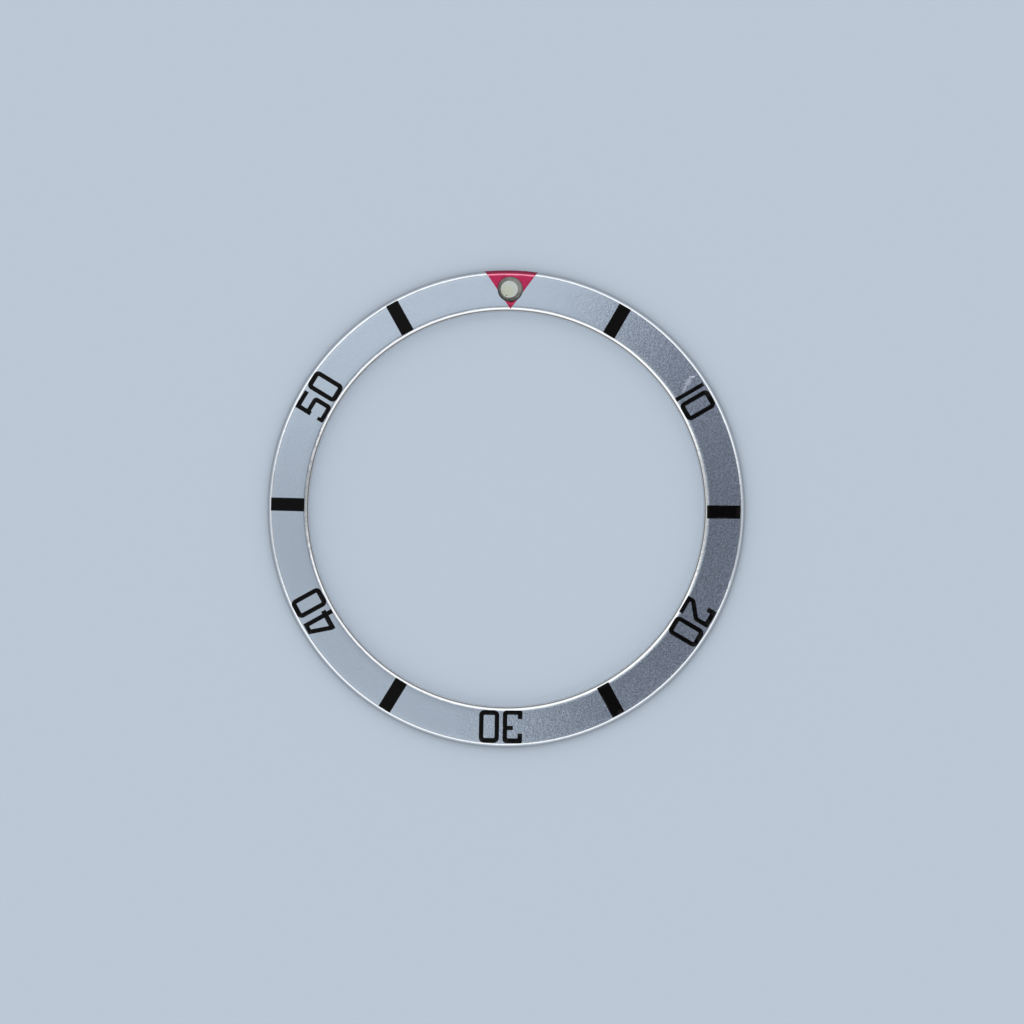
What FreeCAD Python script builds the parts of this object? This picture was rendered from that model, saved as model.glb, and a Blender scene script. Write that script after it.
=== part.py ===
"""Bezel insert for a dive watch: a thin aluminium ring with printed minute marks and a luminous pearl.

Lengths are in millimetres. The origin is on the ring's axis in the plane of its back seat, +Z points
out of the printed face and +Y points to the pearl at twelve. Angles round the ring are clockwise from
twelve, as on a dial.
"""

import FreeCAD, Part
import math
import os

# Ring blank
outside_diameter = 38.0
ring_width = 3.25
rim_wall = 0.40
rim_break = 0.05
face_slope_deg = 6.5
outer_bevel_width = 0.27
outer_bevel_deg = 50.0
outer_ridge_radius = 0.25
inner_bevel_width = 0.177
inner_bevel_deg = 50.0
inner_ridge_radius = 0.35
seat_width = 2.85

# Pearl
pearl_diameter = 2.0
pearl_beyond_middle = 0.09
pearl_clearance = 0.01
cup_depth = 0.58
cup_floor = 0.14
cup_wall = 0.33
pocket_off_centre = 0.075
cup_proud = 0.07
cup_edge_radius = 0.05
lip_width = 0.11
lens_clearance = 0.01
lens_edge = 0.08
lens_rise = 0.17

# Lacquer, how far the numerals stay inside the two ridges and how far the bars reach past the numerals
lacquer_thickness = 0.03
lacquer_setback = 0.01
print_margin = 0.09
bar_overhang = 0.023
print_shift_across = -0.05
print_shift_up = 0.032
print_turn_deg = -0.02

# Triangle at twelve
triangle_width = 4.40
triangle_apex_gap = 0.12
triangle_turn_deg = 0.34
triangle_lean_deg = 0.0

# Minute bars, with the small lean and turn round the ring that each one was printed with
bar_width = 1.05
bar_corner = 0.05
bar_lean_deg = {5: -0.56, 15: -0.37, 25: 0.2, 35: 0.5, 45: 0.4, 55: 0.0}
bar_turn_deg = {5: -0.33, 15: -0.12, 25: 0.24, 35: 0.18, 45: 0.1, 55: -0.07}

# Numerals, with the lean of each pair and how far it lies towards the bore
flat_digit_drop = 0.08
upright_stroke = 0.36
level_stroke = 0.388
flat_stroke = 0.34
digit_gap = 0.28
zero_width = 1.60
zero_corner = 0.42
one_width = 0.32
two_width = 1.48
three_width = 1.56
four_width = 1.68
five_width = 1.54
bend_radius = 0.32
shoulder_radius = 0.14
counter_radius = 0.08
stroke_tip_radius = 0.03
notch_depth = 0.05
notch_width = 0.26
pair_lean_deg = {10: -1.2, 20: -0.5, 30: 0.0, 40: 0.0, 50: 0.3}
pair_inset = {10: 0.0, 20: 0.01, 30: 0.0, 40: 0.023, 50: 0.04}

# Distance of each pair's middle from its minute, as shares of the zero's width
pair_offset_shares = {10: -0.054, 20: 0.066, 30: 0.062, 40: 0.022, 50: 0.016}

# Heights in each digit, as shares of its height, and places across it, as shares of its width
two_hook_share = 0.716
two_knee_share = 0.600
two_elbow_share = 0.240
three_hook_share = 0.703
three_waist_share = 0.536
three_tail_share = 0.262
three_tongue_share = 0.475
four_crossbar_share = 0.168
four_heel_share = 0.290
four_top_share = 0.350
five_bowl_share = 0.640
five_stub_share = 0.468
five_tail_share = 0.212

# Construction: how far cutters run past the part, where the turned pieces' seam lies, and the most of
# a side that one rounded corner may take
overrun = 1.0
seam_minute = 7.5
rounding_room_share = 0.49

# Whole-part values that follow from these
minute_deg = 6.0
rim_radius = outside_diameter / 2
bore_radius = rim_radius - ring_width
middle_radius = (rim_radius + bore_radius) / 2
face_slope = math.tan(math.radians(face_slope_deg))
outer_ridge_at = rim_radius - outer_bevel_width
inner_ridge_at = bore_radius + inner_bevel_width
outer_ridge_height = rim_wall + outer_bevel_width * math.tan(math.radians(outer_bevel_deg))
inner_ridge_height = outer_ridge_height + (outer_ridge_at - inner_ridge_at) * face_slope
bore_top = inner_ridge_height - inner_bevel_width * math.tan(math.radians(inner_bevel_deg))
seat_inner_radius = rim_radius - seat_width
bore_foot = (seat_inner_radius - bore_radius) * face_slope
print_radius = (outer_ridge_at + inner_ridge_at) / 2
mark_height = outer_ridge_at - inner_ridge_at - 2 * print_margin
bar_height = mark_height + 2 * bar_overhang
print_height = inner_ridge_height + overrun

ORIGIN = FreeCAD.Vector(0, 0, 0)
UP = FreeCAD.Vector(0, 0, 1)
ACROSS = FreeCAD.Vector(1, 0, 0)


def corner_arc(before, corner, after, radius):
    """Start, middle and end of the arc that rounds a corner, no longer than its two sides allow."""
    back = before - corner
    ahead = after - corner
    room = min(back.Length, ahead.Length) * rounding_room_share
    back.normalize()
    ahead.normalize()
    half_angle = back.getAngle(ahead) / 2
    reach = min(radius / math.tan(half_angle), room)
    rounded = reach * math.tan(half_angle)
    if rounded <= 0:
        return [corner]
    inward = (back + ahead).normalize()
    middle = corner + inward * (rounded / math.sin(half_angle) - rounded)
    return [corner + back * reach, middle, corner + ahead * reach]


def outline(corners):
    """Closed wire through corners given as (x, y, rounding radius)."""
    points = [FreeCAD.Vector(x, y, 0) for x, y, _ in corners]
    stops = []
    for place, (_, _, radius) in enumerate(corners):
        after = points[(place + 1) % len(points)]
        stops.append(corner_arc(points[place - 1], points[place], after, radius))
    edges = []
    for place, stop in enumerate(stops):
        if len(stop) == 3:
            edges.append(Part.Arc(*stop).toShape())
        following = stops[(place + 1) % len(stops)]
        edges.append(Part.LineSegment(stop[-1], following[0]).toShape())
    return Part.Wire(edges)


def flat_face(corners, counter=None):
    """Flat face inside an outline, less the counter inside it where there is one."""
    face = Part.Face(outline(corners))
    if counter:
        face = face.cut(Part.Face(outline(counter)))
    return face


def turned(corners):
    """Solid of revolution about Z from a section given as (radius, height, rounding radius)."""
    section = flat_face(corners)
    section.rotate(ORIGIN, ACROSS, 90)
    return section.revolve(ORIGIN, UP, 360)


def ring_section(raised):
    """Section of the ring. Its top is raised by a layer's thickness, and its ridges keep concentric."""
    slope = math.radians(face_slope_deg)
    outer = math.radians(outer_bevel_deg)
    inner = math.radians(inner_bevel_deg)
    outer_step = raised * math.tan((outer - slope) / 2)
    inner_step = raised * math.tan((inner + slope) / 2)
    rim_step = raised / math.cos(outer)
    bore_step = raised / math.cos(inner)
    outer_ridge = (
        outer_ridge_at + raised * math.sin(slope) + outer_step * math.cos(slope),
        outer_ridge_height + raised * math.cos(slope) - outer_step * math.sin(slope),
        outer_ridge_radius + raised,
    )
    inner_ridge = (
        inner_ridge_at + raised * math.sin(slope) - inner_step * math.cos(slope),
        inner_ridge_height + raised * math.cos(slope) + inner_step * math.sin(slope),
        inner_ridge_radius + raised,
    )
    return [
        (rim_radius, 0, rim_break),
        (rim_radius, rim_wall + rim_step, 0),
        outer_ridge,
        inner_ridge,
        (bore_radius, bore_top + bore_step, 0),
        (bore_radius, bore_foot, 0),
        (seat_inner_radius, 0, 0),
    ]


def on_pearl_axis(shape):
    """A shape made about Z from the face's level, stood square on the sloping face at the pearl's place."""
    at = middle_radius + pearl_beyond_middle
    height = outer_ridge_height + (outer_ridge_at - at) * face_slope
    shape.rotate(ORIGIN, ACROSS, -face_slope_deg)
    shape.translate(FreeCAD.Vector(0, at, height))
    return shape


def pearl_hole():
    """Cylinder that clears the cup, right through the ring and what lies on it."""
    length = cup_depth + 2 * overrun
    drill = Part.makeCylinder(pearl_diameter / 2 + pearl_clearance, length)
    drill.translate(FreeCAD.Vector(0, 0, -cup_depth - overrun))
    return on_pearl_axis(drill)


def insert_ring():
    """Turned ring with the hole for the pearl."""
    blank = turned(ring_section(0))
    blank.rotate(ORIGIN, UP, seam_minute * minute_deg)
    return blank.cut(pearl_hole())


def cup_pocket():
    """Round space in the cup from its floor to its ledge, a little off centre towards the last minutes."""
    pocket = Part.makeCylinder(pearl_diameter / 2 - cup_wall, cup_depth - cup_floor)
    pocket.translate(FreeCAD.Vector(-pocket_off_centre, 0, cup_floor - cup_depth))
    return pocket


def pearl_cup():
    """Metal cup with a floor, a ledge that the lens sits on and a thin lip round the lens."""
    outer = pearl_diameter / 2
    section = [
        (0, -cup_depth, 0),
        (outer, -cup_depth, cup_edge_radius),
        (outer, cup_proud, cup_edge_radius),
        (outer - lip_width, cup_proud, cup_edge_radius),
        (outer - lip_width, 0, 0),
        (0, 0, 0),
    ]
    return on_pearl_axis(turned(section).cut(cup_pocket()))


def pearl_lume():
    """Luminous filling, level with the cup's ledge."""
    return on_pearl_axis(cup_pocket())


def pearl_lens():
    """Clear cap: a short round edge with a shallow dome on it."""
    radius = pearl_diameter / 2 - lip_width - lens_clearance
    ball_radius = (radius * radius + lens_rise * lens_rise) / (2 * lens_rise)
    edge = Part.makeCylinder(radius, lens_edge + lens_rise)
    ball = Part.makeSphere(ball_radius)
    ball.translate(FreeCAD.Vector(0, 0, lens_edge + lens_rise - ball_radius))
    return on_pearl_axis(edge.common(ball))


def lacquer_blank(ring):
    """Layer of lacquer over the ring's whole top, kept back from the rim and the bore."""
    layer = turned(ring_section(lacquer_thickness))
    layer.rotate(ORIGIN, UP, seam_minute * minute_deg)
    outer = Part.makeCylinder(rim_radius - lacquer_setback, print_height)
    inner = Part.makeCylinder(bore_radius + lacquer_setback, print_height)
    return layer.common(outer.cut(inner)).cut(ring).cut(pearl_hole())


def centred(corners, width, height):
    """Corners moved so that a mark of that width and height has its middle at the origin."""
    return [(x - width / 2, y - height / 2, radius) for x, y, radius in corners]


def block(left, low, right, high, radius):
    """Corners of an upright rectangle with its four corners rounded alike."""
    return [(left, low, radius), (right, low, radius), (right, high, radius), (left, high, radius)]


def bar_face():
    """Outline of a minute bar about its middle."""
    return flat_face(centred(block(0, 0, bar_width, bar_height, bar_corner), bar_width, bar_height))


def zero_digit():
    """Tall rounded loop."""
    outer = block(0, 0, zero_width, mark_height, zero_corner)
    right = zero_width - upright_stroke
    counter = block(upright_stroke, level_stroke, right, mark_height - level_stroke, counter_radius)
    return zero_width, outer, counter


def one_digit():
    """Plain upright stroke."""
    return one_width, block(0, 0, one_width, mark_height - flat_digit_drop, stroke_tip_radius), None


def two_digit():
    """Hook, shoulder, slanting stroke and level base."""
    knee = mark_height * two_knee_share
    elbow = mark_height * two_elbow_share
    hook = mark_height * two_hook_share
    inner_right = two_width - upright_stroke
    slant = (knee - elbow) / inner_right
    under = elbow - upright_stroke * math.hypot(1, slant)
    crook = max(under + slant * upright_stroke, flat_stroke + 2 * stroke_tip_radius)
    top = mark_height - level_stroke
    outer = [
        (0, 0, stroke_tip_radius),
        (two_width, 0, stroke_tip_radius),
        (two_width, flat_stroke, stroke_tip_radius),
        (upright_stroke, flat_stroke, stroke_tip_radius),
        (upright_stroke, crook, stroke_tip_radius),
        (two_width, under + slant * two_width, bend_radius),
        (two_width, mark_height, shoulder_radius),
        (0, mark_height, shoulder_radius),
        (0, hook, stroke_tip_radius),
        (upright_stroke, hook, stroke_tip_radius),
        (upright_stroke, top, counter_radius),
        (inner_right, top, counter_radius),
        (inner_right, knee, counter_radius),
        (0, elbow, bend_radius),
    ]
    return two_width, outer, None


def three_digit():
    """Two open bowls with a short tongue between them and a notch on the right at their waist."""
    waist = mark_height * three_waist_share
    hook = mark_height * three_hook_share
    tail = mark_height * three_tail_share
    tongue = three_width * three_tongue_share
    tongue_top = waist + flat_stroke / 2
    tongue_foot = waist - flat_stroke / 2
    inner_right = three_width - upright_stroke
    top = mark_height - level_stroke
    outer = [
        (0, 0, shoulder_radius),
        (three_width, 0, bend_radius),
        (three_width, waist - notch_width / 2, shoulder_radius),
        (three_width - notch_depth, waist, stroke_tip_radius),
        (three_width, waist + notch_width / 2, shoulder_radius),
        (three_width, mark_height, bend_radius),
        (0, mark_height, shoulder_radius),
        (0, hook, stroke_tip_radius),
        (upright_stroke, hook, stroke_tip_radius),
        (upright_stroke, top, counter_radius),
        (inner_right, top, counter_radius),
        (inner_right, tongue_top, stroke_tip_radius),
        (tongue, tongue_top, stroke_tip_radius),
        (tongue, tongue_foot, stroke_tip_radius),
        (inner_right, tongue_foot, stroke_tip_radius),
        (inner_right, flat_stroke, counter_radius),
        (upright_stroke, flat_stroke, counter_radius),
        (upright_stroke, tail, stroke_tip_radius),
        (0, tail, stroke_tip_radius),
    ]
    return three_width, outer, None


def four_digit():
    """Slanting stroke, level crossbar that passes the stem, and an upright stem."""
    height = mark_height - flat_digit_drop
    low = height * four_crossbar_share
    high = low + level_stroke
    heel = height * four_heel_share
    top_left = four_width * four_top_share
    stem_right = four_width - upright_stroke / 2
    stem_left = stem_right - upright_stroke
    slant = top_left / (height - heel)
    inside = upright_stroke * math.hypot(1, slant)
    counter_top = height - flat_stroke
    outer = [
        (stem_left, 0, stroke_tip_radius),
        (stem_right, 0, stroke_tip_radius),
        (stem_right, low, 0),
        (four_width, low, stroke_tip_radius),
        (four_width, high, stroke_tip_radius),
        (stem_right, high, 0),
        (stem_right, height, stroke_tip_radius),
        (top_left, height, stroke_tip_radius),
        (0, heel, shoulder_radius),
        (0, low, stroke_tip_radius),
        (stem_left, low, 0),
    ]
    counter = [
        (inside + (high - heel) * slant, high, stroke_tip_radius),
        (stem_left, high, stroke_tip_radius),
        (stem_left, counter_top, stroke_tip_radius),
        (inside + (counter_top - heel) * slant, counter_top, stroke_tip_radius),
    ]
    return four_width, outer, counter


def five_digit():
    """Level top, upright with a stub below the middle stroke, bowl and an open tail."""
    height = mark_height - flat_digit_drop
    bowl = height * five_bowl_share
    stub = height * five_stub_share
    tail = height * five_tail_share
    inner_right = five_width - upright_stroke
    top = height - flat_stroke
    tail_right = upright_stroke - shoulder_radius / 2
    outer = [
        (0, 0, shoulder_radius),
        (five_width, 0, bend_radius),
        (five_width, bowl, bend_radius),
        (upright_stroke, bowl, stroke_tip_radius),
        (upright_stroke, top, counter_radius),
        (five_width, top, stroke_tip_radius),
        (five_width, height, stroke_tip_radius),
        (0, height, stroke_tip_radius),
        (0, stub, stroke_tip_radius),
        (upright_stroke, stub, stroke_tip_radius),
        (upright_stroke, bowl - flat_stroke, 0),
        (inner_right, bowl - flat_stroke, counter_radius),
        (inner_right, flat_stroke, counter_radius),
        (tail_right, flat_stroke, counter_radius),
        (tail_right, tail, stroke_tip_radius),
        (0, tail, stroke_tip_radius),
    ]
    return five_width, outer, None


def triangle_face():
    """Triangle about the print's middle, wide at the rim, with its apex on the inner ridge."""
    apex = bore_radius + triangle_apex_gap - print_radius
    top = rim_radius - print_radius
    half = triangle_width / 2
    return flat_face([(0, apex, 0), (half, top, 0), (-half, top, 0)])


def printed(face, minute, lean_deg, blank):
    """The lacquer under a flat outline that is leant, set at its minute and moved as the print lies."""
    face.rotate(ORIGIN, UP, -lean_deg)
    face.translate(FreeCAD.Vector(0, print_radius, 0))
    face.rotate(ORIGIN, UP, -minute * minute_deg - print_turn_deg)
    face.translate(FreeCAD.Vector(print_shift_across, print_shift_up, 0))
    return face.extrude(UP * print_height).common(blank)


def digit_pair(minute, tens):
    """Flat faces of the tens digit and the zero beside it, side by side about their minute."""
    placed = []
    pair_width = tens[0] + digit_gap + zero_width
    left = pair_offset_shares[minute] * zero_width - pair_width / 2
    foot = -mark_height / 2 - pair_inset[minute]
    for width, outer, counter in (tens, zero_digit()):
        outer = [(left + x, foot + y, radius) for x, y, radius in outer]
        counter = [(left + x, foot + y, radius) for x, y, radius in counter or []]
        placed.append(flat_face(outer, counter))
        left += width + digit_gap
    return placed


def export(name, shape):
    """Writes a piece as a STEP file named for its node. The pearl parts the triangle's coat in two."""
    solids = shape.Solids
    if not solids:
        raise ValueError(f"{name} has no solid")
    piece = solids[0] if len(solids) == 1 else Part.makeCompound(solids)
    piece.exportStep(f"parts/{name}.step")
    print(f"{name}: {len(solids)} solid, {piece.Volume:.5f} mm3, valid {piece.isValid()}")


def main():
    """Builds every piece and writes it."""
    os.makedirs("parts", exist_ok=True)
    ring = insert_ring()
    export("insert_ring", ring)
    export("pearl_cup", pearl_cup())
    export("pearl_lume", pearl_lume())
    export("pearl_lens", pearl_lens())
    blank = lacquer_blank(ring)
    turn = triangle_turn_deg / minute_deg
    export("triangle_lacquer", printed(triangle_face(), turn, triangle_lean_deg, blank))
    for minute, lean in bar_lean_deg.items():
        at = minute + bar_turn_deg[minute] / minute_deg
        export(f"bar_{minute:02d}", printed(bar_face(), at, lean, blank))
    digits = {10: one_digit, 20: two_digit, 30: three_digit, 40: four_digit, 50: five_digit}
    for minute, tens in digits.items():
        lean = pair_lean_deg[minute]
        for place, face in zip(("tens", "units"), digit_pair(minute, tens())):
            export(f"numeral_{minute}_{place}", printed(face, minute, lean, blank))


main()
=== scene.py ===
"""Looks of a dive watch's bezel insert: a satin ring with bright edges, printed marks and a luminous pearl.

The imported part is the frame. Sizes in the classes are in millimetres, as in the part's source, unless
a name ends in _m or _deg, and every mesh is made in metres in the part's own frame: +Z out of the
printed face, +Y to the pearl at twelve.
"""

from __future__ import annotations

import logging
import math
from dataclasses import astuple, dataclass, field
from enum import Enum
from functools import reduce
from typing import ClassVar

import bmesh
import bpy
from mathutils import Matrix, Vector

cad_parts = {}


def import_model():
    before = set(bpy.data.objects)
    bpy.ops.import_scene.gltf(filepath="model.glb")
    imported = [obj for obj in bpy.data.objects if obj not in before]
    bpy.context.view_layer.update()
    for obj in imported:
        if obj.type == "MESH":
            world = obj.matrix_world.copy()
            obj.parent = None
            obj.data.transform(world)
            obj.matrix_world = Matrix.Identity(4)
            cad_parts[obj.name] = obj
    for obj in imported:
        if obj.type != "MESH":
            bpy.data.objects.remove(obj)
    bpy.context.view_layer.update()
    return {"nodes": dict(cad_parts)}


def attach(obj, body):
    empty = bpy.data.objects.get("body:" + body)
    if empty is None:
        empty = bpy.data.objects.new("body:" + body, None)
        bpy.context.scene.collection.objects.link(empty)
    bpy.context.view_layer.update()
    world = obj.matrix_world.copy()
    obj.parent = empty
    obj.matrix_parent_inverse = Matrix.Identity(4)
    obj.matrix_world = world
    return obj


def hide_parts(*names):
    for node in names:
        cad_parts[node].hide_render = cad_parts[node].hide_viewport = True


MM = 0.001
NODE_SPACING = 190.0
log = logging.getLogger("bezel_insert")

Node = bpy.types.Node
Socket = bpy.types.NodeSocket
Outputs = bpy.types.NodeOutputs
Tree = bpy.types.NodeTree
Material = bpy.types.Material
Piece = bpy.types.Object
Colour = tuple[float, float, float, float]
Span = tuple[float, ...]


class Slot(Enum):
    """Material slots that the pieces take their finishes from."""

    SATIN = "satin_aluminium"
    INK = "black_ink"
    LACQUER = "crimson_lacquer"
    CUP = "pearl_metal"
    LUME = "lume"
    GLASS = "pearl_glass"


class Cut(Enum):
    """What a stencil or a drill does to a turned form."""

    KEEP_INSIDE = "INTERSECT"
    TAKE_AWAY = "DIFFERENCE"


class Graph:
    """Adds nodes to one node tree and joins them up."""

    def __init__(self, tree: Tree) -> None:
        """Works on an empty tree."""
        self.tree = tree

    def feed(self, socket: Socket, value: object) -> None:
        """Links a socket to another one, or sets its plain value.

        Args:
            socket: The input socket.
            value: An output socket, or a value for the input's own field.
        """
        if isinstance(value, bpy.types.NodeSocket):
            self.tree.links.new(value, socket)
        else:
            socket.default_value = value

    def add(self, kind: str, inputs: dict[str | int, object] | None = None, **settings: object) -> Node:
        """Adds a node.

        Args:
            kind: The node's type name.
            inputs: Links and values by input name or number.
            **settings: The node's own properties.

        Returns:
            The new node.
        """
        node = self.tree.nodes.new(kind)
        node.location = (len(self.tree.nodes) * NODE_SPACING, 0.0)
        for name, value in settings.items():
            setattr(node, name, value)
        for name, value in (inputs or {}).items():
            self.feed(node.inputs[name], value)
        return node

    def maths(self, operation: str, *values: object) -> Socket:
        """Works out one of Blender's Math operations on sockets or numbers."""
        return self.add("ShaderNodeMath", dict(enumerate(values)), operation=operation).outputs[0]

    def times(self, *factors: object) -> Socket:
        """Multiplies sockets or numbers."""
        return reduce(lambda product, factor: self.maths("MULTIPLY", product, factor), factors)

    def largest(self, *values: object) -> Socket:
        """Takes the largest of several sockets or numbers."""
        return reduce(lambda most, value: self.maths("MAXIMUM", most, value), values)

    def centred(self, share: Socket) -> Socket:
        """Moves a share of 0 to 1 so that its middle is 0."""
        return self.maths("SUBTRACT", share, 0.5)

    def diagonal(self, *sides: Socket) -> Socket:
        """Distance that goes this far along one axis and this far along the other."""
        squares = [self.maths("POWER", side, 2.0) for side in sides]
        return self.maths("SQRT", self.maths("ADD", *squares))

    def step(self, value: object, *span: float) -> Socket:
        """Goes smoothly from 0 at a span's low end to 1 at its high end, or between two results that follow."""
        inputs = dict(enumerate((value, *span)))
        return self.add("ShaderNodeMapRange", inputs, interpolation_type="SMOOTHSTEP").outputs[0]

    def between(self, share: object, first: object, second: object) -> Socket:
        """Mixes two numbers, with this share of the second."""
        return self.add("ShaderNodeMix", {0: share, 2: first, 3: second}, data_type="FLOAT").outputs[0]

    def around(self, share: object, middle: float, spread: float) -> Socket:
        """Spreads a number to both sides of its middle by a share of 0 to 1."""
        return self.between(share, middle - spread, middle + spread)

    def tint(self, share: object, first: object, second: object) -> Socket:
        """Mixes two colours, with this share of the second."""
        return self.add("ShaderNodeMix", {0: share, 6: first, 7: second}, data_type="RGBA").outputs[2]

    def axes(self, vector: Socket) -> Outputs:
        """Splits a vector into X, Y and Z."""
        return self.add("ShaderNodeSeparateXYZ", {0: vector}).outputs

    def reach(self, vector: Socket, direction: object) -> Socket:
        """How far a vector goes in a direction."""
        pair = {0: vector, 1: direction}
        return self.add("ShaderNodeVectorMath", pair, operation="DOT_PRODUCT").outputs["Value"]

    def place_on_part(self) -> Socket:
        """The piece's own coordinates in millimetres."""
        metres = {0: self.add("ShaderNodeTexCoord").outputs["Object"], "Scale": 1.0 / MM}
        return self.add("ShaderNodeVectorMath", metres, operation="SCALE").outputs[0]

    def noise(self, scale: object, detail: float, seed: object = None, **inputs: object) -> Socket:
        """Adds a noise texture over the part, in millimetres unless its Vector is given.

        Args:
            scale: Its grains in a millimetre.
            detail: How many finer layers it has.
            seed: What moves it to another pattern, if anything.
            **inputs: Its other inputs by name.

        Returns:
            The noise, about 0 to 1.
        """
        inputs = {"Vector": self.place_on_part(), "Scale": scale, "Detail": detail} | inputs
        if seed is None:
            return self.add("ShaderNodeTexNoise", inputs).outputs[0]
        return self.add("ShaderNodeTexNoise", inputs | {"W": seed}, noise_dimensions="4D").outputs[0]


def rgb(red: float, green: float, blue: float) -> Colour:
    """Linear colour with full alpha."""
    return red, green, blue, 1.0


def numbers(*names: str) -> dict[str, str]:
    """Sockets for numbers, by these names."""
    return dict.fromkeys(names, "Float")


class Group(Graph):
    """A node group in the making, with its inputs by name and its output node."""

    def __init__(self, name: str, takes: dict[str, str], gives: dict[str, str], kind: str = "ShaderNodeTree") -> None:
        """Starts a node group with named inputs and outputs.

        Args:
            name: The group's name.
            takes: Inputs, with what their sockets hold.
            gives: Outputs, with what their sockets hold.
            kind: The tree's type name.
        """
        super().__init__(bpy.data.node_groups.new(name, kind))
        for in_out, sockets in (("INPUT", takes), ("OUTPUT", gives)):
            for label, holds in sockets.items():
                self.tree.interface.new_socket(label, in_out=in_out, socket_type=f"NodeSocket{holds}")
        entry = self.add("NodeGroupInput")
        self.given = {socket.name: socket for socket in entry.outputs if socket.name}
        self.leave = self.add("NodeGroupOutput")

    def finish(self, *results: Socket) -> Tree:
        """Gives out one result for each output, in order.

        Args:
            *results: The results.

        Returns:
            The finished tree.
        """
        for socket, result in zip(self.leave.inputs, results):
            self.feed(socket, result)
        return self.tree


def linked_object(name: str, data: bpy.types.ID) -> Piece:
    """Puts a mesh or a camera into the scene as an object at the origin.

    Args:
        name: The object's name.
        data: The mesh or the camera.

    Returns:
        The object.
    """
    piece = bpy.data.objects.new(name, data)
    bpy.context.scene.collection.objects.link(piece)
    return piece


@dataclass
class Section:
    """Section of a turned form: corners as (radius, height, rounding radius), in order round the section."""

    corners: list[tuple[float, float, float]]
    arc_steps: int = 9
    longest_run: float = 0.45
    cyclic: bool = True

    def rounded_corner(self, place: int) -> list[Vector]:
        """Points that stand for one corner.

        Args:
            place: The corner's number.

        Returns:
            The corner itself, or points along the arc that rounds it.
        """
        radius, height, rounding = self.corners[place]
        corner = Vector((radius, height))
        if rounding <= 0:
            return [corner]
        before = Vector(self.corners[place - 1][:2]) - corner
        after = Vector(self.corners[(place + 1) % len(self.corners)][:2]) - corner
        half = before.angle(after) / 2
        reach = rounding / math.tan(half)
        inward = (before.normalized() + after.normalized()).normalized()
        centre = corner + inward * (rounding / math.sin(half))
        start = corner + before.normalized() * reach - centre
        swing = math.pi - 2 * half
        turn = swing if start.x * after.y - start.y * after.x > 0 else -swing
        arc = []
        for step in range(self.arc_steps + 1):
            angle = turn * step / self.arc_steps
            x = start.x * math.cos(angle) - start.y * math.sin(angle)
            y = start.x * math.sin(angle) + start.y * math.cos(angle)
            arc.append(centre + Vector((x, y)))
        return arc

    def points(self) -> list[Vector]:
        """Whole section as points, with long straight runs divided.

        Returns:
            The points in order.
        """
        stops = [point for place in range(len(self.corners)) for point in self.rounded_corner(place)]
        following = stops[1:] + stops[:1] if self.cyclic else stops[1:]
        points = []
        for start, end in zip(stops, following):
            parts = max(1, math.ceil((end - start).length / self.longest_run))
            points += [start.lerp(end, part / parts) for part in range(parts)]
        return points if self.cyclic else points + stops[-1:]

    def outline(self, name: str, path_radius: float) -> Piece:
        """Object of bare edges that the turning trees sweep round a circle.

        Args:
            name: The object's name.
            path_radius: Radius of that circle in millimetres.

        Returns:
            The object.
        """
        points = [((x - path_radius) * MM, -y * MM, 0.0) for x, y in self.points()]
        joins = [(place, place + 1) for place in range(len(points) - 1)]
        if self.cyclic:
            joins.append((len(points) - 1, 0))
        mesh = bpy.data.meshes.new(name)
        mesh.from_pydata(points, joins, [])
        return linked_object(name, mesh)


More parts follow.
